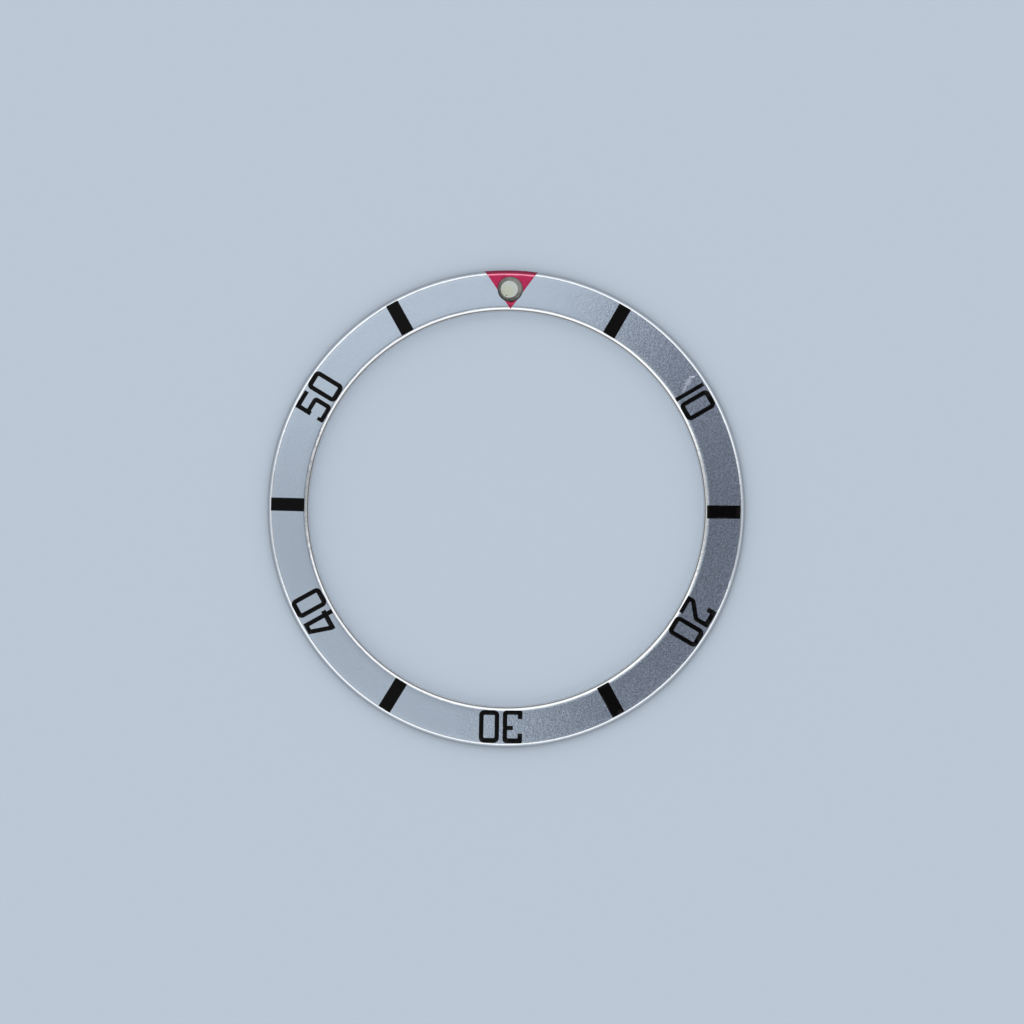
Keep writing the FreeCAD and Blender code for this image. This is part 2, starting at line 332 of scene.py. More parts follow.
@dataclass
class Ring:
    """The aluminium ring: its sizes, from which its section and every coat on it follow."""

    rim_radius: float = 19.0
    ring_width: float = 3.25
    rim_wall: float = 0.40
    rim_break: float = 0.05
    wall_edge: float = 0.015
    face_slope_deg: float = 6.5
    bevel_deg: float = 50.0
    outer_bevel_width: float = 0.27
    outer_ridge_radius: float = 0.25
    inner_bevel_width: float = 0.177
    inner_ridge_radius: float = 0.48
    seat_width: float = 2.85
    coat_overhang: float = 0.4
    turning_steps: int = 540
    sharp_deg: float = 38.0

    @property
    def bore_radius(self) -> float:
        """Radius of the bore."""
        return self.rim_radius - self.ring_width

    @property
    def middle_radius(self) -> float:
        """Radius halfway between bore and rim."""
        return self.rim_radius - self.ring_width / 2

    @property
    def slope(self) -> float:
        """Rise of the face towards the bore, for each unit of radius."""
        return math.tan(math.radians(self.face_slope_deg))

    @property
    def outer_ridge(self) -> tuple[float, float]:
        """Radius and height where the face meets the outer bevel."""
        rise = self.outer_bevel_width * math.tan(math.radians(self.bevel_deg))
        return self.rim_radius - self.outer_bevel_width, self.rim_wall + rise

    @property
    def inner_ridge(self) -> tuple[float, float]:
        """Radius and height where the face meets the inner bevel."""
        at = self.bore_radius + self.inner_bevel_width
        return at, self.height(at)

    def height(self, radius: float) -> float:
        """Height of the face's cone at a radius."""
        at, high = self.outer_ridge
        return high + (at - radius) * self.slope

    def raised_ridges(self, raised: float) -> list[tuple[float, float, float]]:
        """The two ridges' corners on a surface that lies a little over the ring's own.

        Args:
            raised: Distance from the ring's surface.

        Returns:
            Inner and outer corner with their rounding radii.
        """
        slope, bevel = math.radians(self.face_slope_deg), math.radians(self.bevel_deg)
        lift_out, lift_up = raised * math.sin(slope), raised * math.cos(slope)
        ridges = ((self.inner_ridge, self.inner_ridge_radius, -1), (self.outer_ridge, self.outer_ridge_radius, 1))
        corners = []
        for (at, high), rounding, side in ridges:
            slide = side * raised * math.tan((bevel - side * slope) / 2)
            at += lift_out + slide * math.cos(slope)
            corners.append((at, high + lift_up - slide * math.sin(slope), rounding + raised))
        return corners

    def section(self) -> Section:
        """Section of the ring itself, clockwise from the bore's foot.

        Returns:
            The section.
        """
        seat_inner = self.rim_radius - self.seat_width
        bore_foot = (seat_inner - self.bore_radius) * self.slope
        bore_top = self.inner_ridge[1] - self.inner_bevel_width * math.tan(math.radians(self.bevel_deg))
        inner, outer = self.raised_ridges(0.0)
        corners = [
            (self.bore_radius, bore_foot, 0.0),
            (self.bore_radius, bore_top, self.wall_edge),
            inner,
            outer,
            (self.rim_radius, self.rim_wall, self.wall_edge),
            (self.rim_radius, 0.0, self.rim_break),
            (seat_inner, 0.0, 0.0),
        ]
        return Section(corners)

    def coat_section(self, thickness: float, sunk: float) -> Section:
        """Section of a coat over the whole top, a little sunk so that no gap shows under its edge.

        Args:
            thickness: How far the coat stands over the ring.
            sunk: How far its underside lies in the ring.

        Returns:
            The section.
        """
        ridges = [*self.raised_ridges(thickness), *reversed(self.raised_ridges(-sunk))]
        drop = self.coat_overhang * math.tan(math.radians(self.bevel_deg))
        overhangs = (-self.coat_overhang, self.coat_overhang, self.coat_overhang, -self.coat_overhang)
        inner, outer, outer_under, inner_under = [
            (at + out, high - drop, 0.0) for (at, high, _), out in zip(ridges, overhangs)
        ]
        return Section([inner_under, inner, *ridges[:2], outer, outer_under, *ridges[2:]])

    def build(self, shop: Workshop, drill: Piece) -> Piece:
        """Turns the ring and drills the pearl's hole.

        Args:
            shop: The workshop.
            drill: The tool for the hole.

        Returns:
            The piece.
        """
        ring = ("insert_ring_turned", "insert_ring", Slot.SATIN, self.section())
        return shop.turn(Turning(*ring, self.middle_radius, self.turning_steps, self.sharp_deg, drill))


@dataclass
class Pearl:
    """The pearl's cup, filling and lens at twelve, with the axis that they share."""

    ring: Ring
    diameter: float = 2.0
    beyond_middle: float = 0.09
    clearance: float = 0.01
    cup_depth: float = 0.58
    cup_floor: float = 0.14
    cup_wall: float = 0.33
    pocket_off_centre: float = 0.075
    cup_proud: float = 0.07
    edge_radius: float = 0.05
    lip_width: float = 0.11
    lens_clearance: float = 0.01
    lens_edge: float = 0.08
    lens_rise: float = 0.17
    lens_lift: float = 0.006
    soft_edge_radius: float = 0.025
    dome_steps: int = 14
    turning_steps: int = 128
    path_radius: float = 0.5
    sharp_deg: float = 40.0
    hole_reach: float = 2.0
    pocket_top: float = 1.0

    @property
    def pocket_radius(self) -> float:
        """Radius of the space for the filling."""
        return self.diameter / 2 - self.cup_wall

    @property
    def axis(self) -> Matrix:
        """Where the pearl stands, square on the sloping face, as a matrix from its own frame in metres."""
        at = self.ring.middle_radius + self.beyond_middle
        place = Vector((0.0, at, self.ring.height(at))) * MM
        return Matrix.Translation(place) @ Matrix.Rotation(-math.radians(self.ring.face_slope_deg), 4, "X")

    def cup_section(self) -> Section:
        """Section of the cup before its pocket is cut, with a thin lip round the lens."""
        outer = self.diameter / 2
        corners = [
            (0.0, 0.0, 0.0),
            (outer - self.lip_width, 0.0, 0.0),
            (outer - self.lip_width, self.cup_proud, self.edge_radius),
            (outer, self.cup_proud, self.edge_radius),
            (outer, -self.cup_depth, self.edge_radius),
            (0.0, -self.cup_depth, 0.0),
        ]
        return Section(corners, arc_steps=5, longest_run=0.25, cyclic=False)

    def filling_section(self) -> Section:
        """Section of the luminous filling, with a soft edge where it meets its pocket."""
        radius = self.pocket_radius
        corners = [
            (0.0, 0.0, 0.0),
            (radius, 0.0, self.soft_edge_radius),
            (radius, self.cup_floor - self.cup_depth, 0.0),
            (0.0, self.cup_floor - self.cup_depth, 0.0),
        ]
        return Section(corners, arc_steps=5, longest_run=0.12, cyclic=False)

    def lens_section(self) -> Section:
        """Section of the clear cap: a short round edge with a shallow dome."""
        radius = self.diameter / 2 - self.lip_width - self.lens_clearance
        ball = (radius * radius + self.lens_rise * self.lens_rise) / (2 * self.lens_rise)
        top = self.lens_edge + self.lens_rise
        reach = math.asin(radius / ball)
        dome = []
        for step in range(self.dome_steps + 1):
            angle = reach * step / self.dome_steps
            dome.append((ball * math.sin(angle), top - ball * (1 - math.cos(angle)), 0.0))
        foot = [(radius, self.lens_lift, 0.0), (0.0, self.lens_lift, 0.0)]
        return Section(dome + foot, longest_run=0.2, cyclic=False)

    def drill(self) -> Piece:
        """Makes the tool for the pearl's hole in the ring.

        Returns:
            The tool, in its place.
        """
        radius = self.diameter / 2 + self.clearance
        drill = rod("pearl_drill", radius, -self.hole_reach, self.hole_reach, self.turning_steps)
        drill.data.transform(self.axis)
        return drill

    def build(self, shop: Workshop) -> list[Piece]:
        """Makes the three parts and stands them on the sloping face.

        Args:
            shop: The workshop.

        Returns:
            The pieces.
        """
        off_centre = Matrix.Translation((-self.pocket_off_centre * MM, 0.0, 0.0))
        foot = self.cup_floor - self.cup_depth
        pocket = rod("pocket_tool", self.pocket_radius, foot, self.pocket_top, self.turning_steps)
        pocket.data.transform(off_centre)
        parts = (
            ("pearl_cup_turned", "pearl_cup", Slot.CUP, self.cup_section(), pocket, self.axis),
            ("pearl_filling", "pearl_lume", Slot.LUME, self.filling_section(), None, self.axis @ off_centre),
            ("pearl_dome", "pearl_lens", Slot.GLASS, self.lens_section(), None, self.axis),
        )
        turned = (self.path_radius, self.turning_steps, self.sharp_deg)
        return [shop.turn(Turning(*part, *turned, tool, stand=stand)) for *part, tool, stand in parts]


@dataclass(frozen=True)
class Grain:
    """Fine blasted grain: small pits and hillocks with a few larger grains among them."""

    per_mm: float
    coarse_share: float
    seed: float = 0.0
    fine_roughness: ClassVar[float] = 0.62
    pits_to_grains: ClassVar[float] = 0.7
    tone_seed: ClassVar[float] = 7.0
    clouds_per_mm: ClassVar[float] = 0.55

    @classmethod
    def group(cls) -> Tree:
        """Builds the shared group.

        Returns:
            The group, which gives a height, a tone and a slow cloud, all about 0 to 1.
        """
        takes = numbers("Grains per mm", "Coarse Share", "Seed")
        group = Group("satin grain", takes, numbers("Height", "Tone", "Cloud"))
        grains, coarse, seed = group.given.values()
        cells = {"Vector": group.place_on_part(), "W": seed, "Scale": group.times(grains, cls.pits_to_grains)}
        pits = group.add("ShaderNodeTexVoronoi", cells, voronoi_dimensions="4D", feature="SMOOTH_F1")
        fine = group.noise(grains, 2.0, seed, Roughness=cls.fine_roughness)
        height = group.between(coarse, fine, pits.outputs["Distance"])
        other_seed = group.maths("ADD", seed, cls.tone_seed)
        tone = group.noise(grains, 1.0, other_seed)
        return group.finish(height, tone, group.noise(cls.clouds_per_mm, 3.0, other_seed))


@dataclass(frozen=True)
class Lines:
    """Radii in millimetres that the ring's face ends at, and how softly it ends."""

    inner: float
    outer: float
    softness: float = 0.03

    @classmethod
    def group(cls) -> Tree:
        """Builds the shared group.

        Returns:
            The group, which gives masks of the face, the outer edge and the inner edge.
        """
        takes = numbers("Inner Line", "Outer Line", "Softness")
        group = Group("place on ring", takes, numbers("Face", "Outer Edge", "Inner Edge"))
        inner, outer, softness = group.given.values()
        place = group.axes(group.place_on_part())
        radius = group.diagonal(place["X"], place["Y"])
        edges = []
        for past in (group.maths("SUBTRACT", radius, outer), group.maths("SUBTRACT", inner, radius)):
            edges.append(group.step(group.maths("DIVIDE", past, softness), -1.0, 1.0))
        return group.finish(group.maths("SUBTRACT", 1.0, group.largest(*edges)), *edges)


@dataclass(frozen=True)
class Wear:
    """Handling wear: sparse hairline scratches, pin-prick specks and a slow waviness."""

    amount: float
    speck_size: float
    seed: float
    scratch_ways: ClassVar[tuple[Span, ...]] = ((0.6, 9.0), (2.2, 12.0))
    scratch_run: ClassVar[float] = 0.35
    scratched: ClassVar[Span] = (0.70, 0.76)
    specks_per_mm: ClassVar[float] = 1.1
    waves_per_mm: ClassVar[float] = 0.9

    @classmethod
    def group(cls) -> Tree:
        """Builds the shared group.

        Returns:
            The group, which gives masks of scratches and specks, and the waviness about 0 to 1.
        """
        takes = numbers("Amount", "Speck Size", "Seed")
        group = Group("handling wear", takes, numbers("Scratches", "Specks", "Waviness"))
        amount, speck_size, seed = group.given.values()
        place = group.place_on_part()
        marks = []
        for turn, stretch in cls.scratch_ways:
            drawn = {"Vector": place, "Rotation": (0.0, 0.0, turn), "Scale": (cls.scratch_run, stretch, 1.0)}
            hairs = group.noise(1.0, 1.0, seed, Vector=group.add("ShaderNodeMapping", drawn).outputs[0])
            marks.append(group.step(hairs, *cls.scratched))
        spaced = {"Vector": place, "W": seed, "Scale": cls.specks_per_mm}
        cells = group.add("ShaderNodeTexVoronoi", spaced, voronoi_dimensions="4D").outputs
        close = group.maths("LESS_THAN", cells["Distance"], speck_size)
        pick = group.add("ShaderNodeSeparateColor", {0: cells["Color"]}).outputs[0]
        specks = group.times(close, group.maths("LESS_THAN", pick, amount))
        waves = group.noise(cls.waves_per_mm, 2.0, seed)
        return group.finish(group.times(group.largest(*marks), amount), specks, waves)


@dataclass(frozen=True)
class Blemish:
    """One soft ragged spot: centre, half length and half width in millimetres, turn in radians."""

    centre: tuple[float, float, float]
    length: float
    width: float
    turn: float
    raggedness: float
    strength: float
    ragged_per_mm: ClassVar[float] = 7.0
    ragged_reach: ClassVar[float] = 3.0
    edge: ClassVar[Span] = (0.35, 1.0, 1.0, 0.0)

    @classmethod
    def group(cls) -> Tree:
        """Builds the shared group.

        Returns:
            The group, which gives the spot's mask.
        """
        takes = {"Centre": "Vector"} | numbers("Length", "Width", "Turn", "Raggedness", "Strength")
        group = Group("placed spot", takes, numbers("Mask"))
        centre, length, width, turn, raggedness, strength = group.given.values()
        offset = {0: group.place_on_part(), 1: centre}
        away = group.add("ShaderNodeVectorMath", offset, operation="SUBTRACT").outputs[0]
        turning = {"Vector": away, "Angle": turn}
        turned = group.axes(group.add("ShaderNodeVectorRotate", turning, rotation_type="Z_AXIS").outputs[0])
        along = group.maths("DIVIDE", turned["X"], length)
        aside = group.maths("DIVIDE", turned["Y"], width)
        ragged = group.centred(group.noise(cls.ragged_per_mm, 3.0))
        shift = group.times(ragged, raggedness, cls.ragged_reach)
        edge = group.maths("ADD", group.diagonal(along, aside), shift)
        return group.finish(group.times(group.step(edge, *cls.edge), strength))


Effect = Grain | Lines | Wear | Blemish


class Bench(Graph):
    """A new material's graph with its Principled shader and short ways to use the effect groups."""

    def __init__(self, name: str, groups: dict[type, Tree]) -> None:
        """Starts a material.

        Args:
            name: The material's name.
            groups: The shared groups by effect.
        """
        self.material = bpy.data.materials.new(name)
        self.material.use_nodes = True
        self.material.node_tree.nodes.clear()
        super().__init__(self.material.node_tree)
        self.groups = groups
        self.shader = self.add("ShaderNodeBsdfPrincipled")
        self.output = self.add("ShaderNodeOutputMaterial", {"Surface": self.shader.outputs[0]})

    def use(self, effect: Effect) -> Outputs:
        """Places an effect's shared group, with the effect's settings as its inputs in order."""
        settings = dict(enumerate(astuple(effect)))
        return self.add("ShaderNodeGroup", settings, node_tree=self.groups[type(effect)]).outputs

    def set(self, **values: object) -> None:
        """Sets or links the shader's inputs, named with underscores for spaces."""
        for label, value in values.items():
            self.feed(self.shader.inputs[label.replace("_", " ")], value)

    def bumps(self, height: Socket, distance: float, under: Socket | None = None) -> Socket:
        """Adds a Bump node.

        Args:
            height: The height, about 0 to 1.
            distance: Millimetres between heights 0 and 1.
            under: The normal of a coarser relief below, if there is one.

        Returns:
            The normal.
        """
        values = {"Height": height, "Distance": distance * MM, "Strength": 1.0}
        if under is not None:
            values["Normal"] = under
        return self.add("ShaderNodeBump", values).outputs[0]


@dataclass(frozen=True)
class Finish:
    """A material of the insert, made for one slot."""

    slot: ClassVar[Slot]

    def make(self, groups: dict[type, Tree]) -> Material:
        """Builds the finish.

        Args:
            groups: The shared groups by effect.

        Returns:
            The material.
        """
        bench = Bench(self.slot.value, groups)
        self.lay_on(bench)
        return bench.material

    def lay_on(self, bench: Bench) -> None:
        """Joins up the finish's own nodes, each finish in its own way."""
        raise NotImplementedError


@dataclass(frozen=True)
class SatinAluminium(Finish):
    """Blasted and clear anodised face with bright turned edges on both sides."""

    slot: ClassVar[Slot] = Slot.SATIN
    hillock: Colour = rgb(0.697, 0.819, 0.974)
    pit: Colour = rgb(0.299, 0.351, 0.418)
    bore_wall: Colour = rgb(0.880, 0.895, 0.910)
    # Painted shadow: a dark band on the bore's chamfer, between the bore line and the bright inner edge.
    bore_shadow_line: Colour = rgb(0.210, 0.210, 0.210)
    bright: Colour = rgb(0.820, 0.850, 0.880)
    inner_bright: Colour = rgb(0.780, 0.810, 0.840)
    dull: Colour = rgb(0.460, 0.470, 0.485)
    scuffed: Colour = rgb(0.780, 0.840, 0.960)
    face_lines: Lines = Lines(16.04, 18.65)
    bright_lines: Lines = Lines(15.86, 18.85)
    bore_line: Lines = Lines(15.76, 20.0, 0.004)
    grain: Grain = Grain(7.0, 0.3)
    wear: Wear = Wear(0.25, 0.035, 3.0)
    # Painted glints: the face's colour speckle grows along this direction, where it stands for glints of the grain as
    # well as its tone.
    glint_side_towards: tuple[float, float, float] = (0.966, -0.259, 0.0)
    glint_side_span: Span = (-1.5, 8.5)
    grain_and_glint_speckle: float = 1.15
    finest: float = 0.12
    cloudiness: float = 0.06
    face_roughness: float = 0.19
    roughness_spread: float = 0.03
    edge_roughness: float = 0.17
    dull_roughness: float = 0.32
    scuffed_roughness: float = 0.62
    scratch_share: float = 0.4
    relief: float = 0.014
    finest_relief: float = 0.4
    edge_waviness: float = 0.03
    face_waviness: float = 0.15
    ripples_per_mm: float = 1.6
    scuffs: tuple[Blemish, ...] = (
        Blemish((14.24, 10.32, 0.8), 0.56, 0.32, -0.95, 0.50, 0.26),
        Blemish((14.60, 10.76, 0.8), 0.24, 0.13, -0.30, 0.70, 0.65),
        Blemish((14.38, 10.56, 0.8), 0.42, 0.16, -1.10, 0.75, 0.40),
        Blemish((13.98, 9.80, 0.8), 0.38, 0.15, -1.20, 0.75, 0.30),
    )

    def lay_on(self, bench: Bench) -> None:
        """Joins up face with painted glints in its speckle, bright edges, dull walls, painted bore shade, scuffs.

        Args:
            bench: The new material's bench.
        """
        where, grain, wear = bench.use(self.face_lines), bench.use(self.grain), bench.use(self.wear)
        scuffed = bench.largest(*(bench.use(spot)["Mask"] for spot in self.scuffs))
        marked = bench.times(bench.largest(scuffed, wear["Specks"]), where["Face"])
        # Painted glints: coarse is the right-hand side, where the colour speckle is strengthened to stand for glints.
        coarse = bench.step(bench.reach(bench.place_on_part(), self.glint_side_towards), *self.glint_side_span)
        speckle = bench.times(bench.centred(grain["Tone"]), bench.between(coarse, self.finest, self.grain_and_glint_speckle))
        cloud = bench.times(bench.centred(grain["Cloud"]), self.cloudiness)
        tone = bench.maths("ADD", 0.5, bench.maths("ADD", speckle, cloud))
        face = bench.tint(tone, self.pit, self.hillock)
        polished = bench.use(self.bright_lines)["Face"]
        in_bore = bench.use(self.bore_line)["Inner Edge"]
        edges = bench.tint(where["Inner Edge"], self.bright, self.inner_bright)
        # Painted shadow: the bore's chamfer takes the dark band, while the bore wall below it stays bright.
        bore = bench.tint(in_bore, self.bore_shadow_line, self.bore_wall)
        walls = bench.tint(where["Inner Edge"], self.dull, bore)
        colour = bench.tint(where["Face"], bench.tint(polished, walls, edges), face)
        colour = bench.tint(marked, colour, self.scuffed)
        face_roughness = bench.around(grain["Tone"], self.face_roughness, self.roughness_spread)
        edge_roughness = bench.between(polished, self.dull_roughness, self.edge_roughness)
        roughness = bench.between(where["Face"], edge_roughness, face_roughness)
        rubbed = bench.largest(bench.times(wear["Scratches"], self.scratch_share), marked)
        roughness = bench.between(rubbed, roughness, self.scuffed_roughness)
        waves = bench.times(wear["Waviness"], self.face_waviness)
        uneven = bench.between(where["Face"], bench.noise(self.ripples_per_mm, 2.0), waves)
        height = bench.times(grain["Height"], where["Face"], bench.between(coarse, self.finest_relief, 1.0))
        normal = bench.bumps(height, self.relief, bench.bumps(uneven, self.edge_waviness))
        bench.set(Base_Color=colour, Roughness=roughness, Normal=normal, Metallic=1.0)


@dataclass(frozen=True)
class BlackInk(Finish):
    """Satin black print, a little thinner at pinholes."""

    slot: ClassVar[Slot] = Slot.INK
    ink: Colour = rgb(0.0003, 0.0003, 0.0004)
    thin_ink: Colour = rgb(0.0006, 0.0006, 0.0009)
    grain: Grain = Grain(6.0, 0.2, 11.0)
    wear: Wear = Wear(0.3, 0.03, 5.0)
    thinned: Span = (0.45, 0.75)
    roughness: float = 0.24
    roughness_spread: float = 0.05
    scratched_roughness: float = 0.5
    relief: float = 0.002
    gloss: float = 0.11

    def lay_on(self, bench: Bench) -> None:
        """Joins up ink, pinholes and scratches.

        Args:
            bench: The new material's bench.
        """
        grain, wear = bench.use(self.grain), bench.use(self.wear)
        thin = bench.largest(bench.step(grain["Tone"], *self.thinned), wear["Specks"])
        colour = bench.tint(thin, self.ink, self.thin_ink)
        roughness = bench.around(grain["Tone"], self.roughness, self.roughness_spread)
        roughness = bench.between(wear["Scratches"], roughness, self.scratched_roughness)
        normal = bench.bumps(grain["Height"], self.relief)
        bench.set(Base_Color=colour, Roughness=roughness, Normal=normal, Specular_IOR_Level=self.gloss)


@dataclass(frozen=True)
class CrimsonLacquer(Finish):
    """Translucent crimson over the metal, glossier where it turns over the outer edge, with a painted highlight on the
    ridge and painted shade past it.
    """

    slot: ClassVar[Slot] = Slot.LACQUER
    crimson: Colour = rgb(0.525, 0.021, 0.104)
    deep: Colour = rgb(0.460, 0.015, 0.082)
    apex: Colour = rgb(0.380, 0.013, 0.066)
    # Painted highlight: a pale pink band along the outer ridge.
    ridge_highlight_pink: Colour = rgb(0.970, 0.300, 0.440)
    # Painted shade: a darker crimson on the outer bevel past the ridge.
    bevel_shade_crimson: Colour = rgb(0.330, 0.012, 0.055)
    face_lines: Lines = Lines(16.32, 18.60)
    ridge_line: Lines = Lines(15.0, 18.70)
    grain: Grain = Grain(5.0, 0.3, 2.0)
    wear: Wear = Wear(0.2, 0.03, 9.0)
    cloud_share: float = 0.3
    mottled: Span = (0.35, 0.65)
    roughness: float = 0.34
    edge_roughness: float = 0.20
    scratched_roughness: float = 0.45
    ripples_per_mm: float = 2.2
    edge_waviness: float = 0.035
    relief: float = 0.0035
    metallic: float = 0.9
    coat: float = 0.35
    coat_roughness: float = 0.12

    def lay_on(self, bench: Bench) -> None:
        """Joins up mottled face, dark apex, a painted highlight along the ridge and painted shade past it.

        Args:
            bench: The new material's bench.
        """
        where, grain, wear = bench.use(self.face_lines), bench.use(self.grain), bench.use(self.wear)
        tone = bench.step(bench.between(self.cloud_share, grain["Tone"], grain["Cloud"]), *self.mottled)
        face = bench.tint(where["Inner Edge"], bench.tint(tone, self.deep, self.crimson), self.apex)
        past_ridge = bench.use(self.ridge_line)["Outer Edge"]
        # Past the face's outer line: a painted highlight along the ridge, then painted shade on the bevel beyond it.
        colour = bench.tint(where["Outer Edge"], face, bench.tint(past_ridge, self.ridge_highlight_pink, self.bevel_shade_crimson))
        roughness = bench.between(where["Outer Edge"], self.roughness, self.edge_roughness)
        roughness = bench.between(wear["Scratches"], roughness, self.scratched_roughness)
        ripple = bench.times(bench.noise(self.ripples_per_mm, 2.0), where["Outer Edge"])
        normal = bench.bumps(grain["Height"], self.relief, bench.bumps(ripple, self.edge_waviness))
        bench.set(Base_Color=colour, Roughness=roughness, Normal=normal, Metallic=self.metallic)
        bench.set(Coat_Weight=self.coat, Coat_Roughness=self.coat_roughness)


@dataclass(frozen=True)
class PearlMetal(Finish):
    """Dark satin metal of the pearl's cup, with a painted sheen that makes it paler towards its top right."""

    slot: ClassVar[Slot] = Slot.CUP
    metal: Colour = rgb(0.056, 0.054, 0.053)
    dull: Colour = rgb(0.042, 0.041, 0.040)
    painted_sheen: Colour = rgb(0.252, 0.244, 0.234)
    grain: Grain = Grain(8.0, 0.4, 4.0)
    wear: Wear = Wear(0.3, 0.04, 6.0)
    mottled: Span = (0.35, 0.65)
    # Painted sheen: the cup turns paler along this direction, across the span that follows.
    sheen_towards: tuple[float, float, float] = (0.25, 1.0, 0.0)
    rubbed: Span = (16.4, 18.5)
    roughness: float = 0.38
    scratched_roughness: float = 0.55
    relief: float = 0.0015

    def lay_on(self, bench: Bench) -> None:
        """Joins up mottled metal and the painted sheen on its top side.

        Args:
            bench: The new material's bench.
        """
        grain, wear = bench.use(self.grain), bench.use(self.wear)
        # rubbed here is the share of the painted sheen that makes the cup paler towards its top.
        rubbed = bench.step(bench.reach(bench.place_on_part(), self.sheen_towards), *self.rubbed)
        metal = bench.tint(bench.step(grain["Tone"], *self.mottled), self.dull, self.metal)
        colour = bench.tint(rubbed, metal, self.painted_sheen)
        roughness = bench.between(wear["Scratches"], self.roughness, self.scratched_roughness)
        normal = bench.bumps(grain["Height"], self.relief)
        bench.set(Base_Color=colour, Roughness=roughness, Normal=normal, Metallic=1.0)


@dataclass(frozen=True)
class LuminousFilling(Finish):
    """Cream paint with a greenish cast, slightly grainy, with a yellowed patch and a fleck."""

    slot: ClassVar[Slot] = Slot.LUME
    cream: Colour = rgb(0.515, 0.545, 0.545)
    aged: Colour = rgb(0.490, 0.515, 0.395)
    grit: Colour = rgb(0.120, 0.115, 0.070)
    aged_patch: Blemish = Blemish((-0.22, 17.28, 0.9), 0.78, 0.72, 0.5, 0.1, 1.0)
    fleck: Blemish = Blemish((-0.30, 16.99, 0.9), 0.11, 0.08, 0.5, 0.2, 0.9)
    grain: Grain = Grain(7.0, 0.5, 8.0)
    mottled: Span = (0.3, 0.7, 0.5, 1.0)
    roughness: float = 0.62
    relief: float = 0.006

    def lay_on(self, bench: Bench) -> None:
        """Joins up cream paint, yellowed patch and fleck.

        Args:
            bench: The new material's bench.
        """
        grain = bench.use(self.grain)
        share = bench.times(bench.use(self.aged_patch)["Mask"], bench.step(grain["Tone"], *self.mottled))
        paint = bench.tint(share, self.cream, self.aged)
        colour = bench.tint(bench.use(self.fleck)["Mask"], paint, self.grit)
        bench.set(Base_Color=colour, Roughness=self.roughness, Normal=bench.bumps(grain["Height"], self.relief))


@dataclass(frozen=True)
class PearlGlass(Finish):
    """Clear cap with a faint haze, which lets lamps through to the filling."""

    slot: ClassVar[Slot] = Slot.GLASS
    clear: Colour = rgb(0.960, 0.975, 0.960)
    lamps_through: Colour = rgb(0.94, 0.95, 0.94)
    wear: Wear = Wear(0.4, 0.03, 12.0)
    roughness: float = 0.03
    scratched_roughness: float = 0.2
    waviness: float = 0.002
    bending: float = 1.5

    def lay_on(self, bench: Bench) -> None:
        """Joins up hazy glass, with plain transparency for shadow rays.

        Args:
            bench: The new material's bench.
        """
        wear = bench.use(self.wear)
        roughness = bench.between(wear["Scratches"], self.roughness, self.scratched_roughness)
        normal = bench.bumps(wear["Waviness"], self.waviness)
        bench.set(Base_Color=self.clear, Roughness=roughness, Normal=normal, IOR=self.bending, Transmission_Weight=1.0)
        lamps = bench.add("ShaderNodeLightPath").outputs["Is Shadow Ray"]
        open_way = bench.add("ShaderNodeBsdfTransparent", {0: self.lamps_through}).outputs[0]
        both = bench.add("ShaderNodeMixShader", {0: lamps, 1: bench.shader.outputs[0], 2: open_way})
        bench.feed(bench.output.inputs["Surface"], both.outputs[0])


@dataclass
class Turning:
    """A piece to turn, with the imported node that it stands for. Lengths are in millimetres.

    The section is swept round a circle of the path's radius, or where there is an arc, as start and
    sweep in radians, through that sector only. The tool is cut away from a full turn, and a sector
    keeps what lies inside it. The piece is then stood in its place.
    """

    name: str
    node: str
    slot: Slot
    section: Section
    path_radius: float
    steps: int
    sharp_deg: float
    tool: Piece | None = None
    arc: tuple[float, float] | None = None
    stand: Matrix = field(default_factory=Matrix)


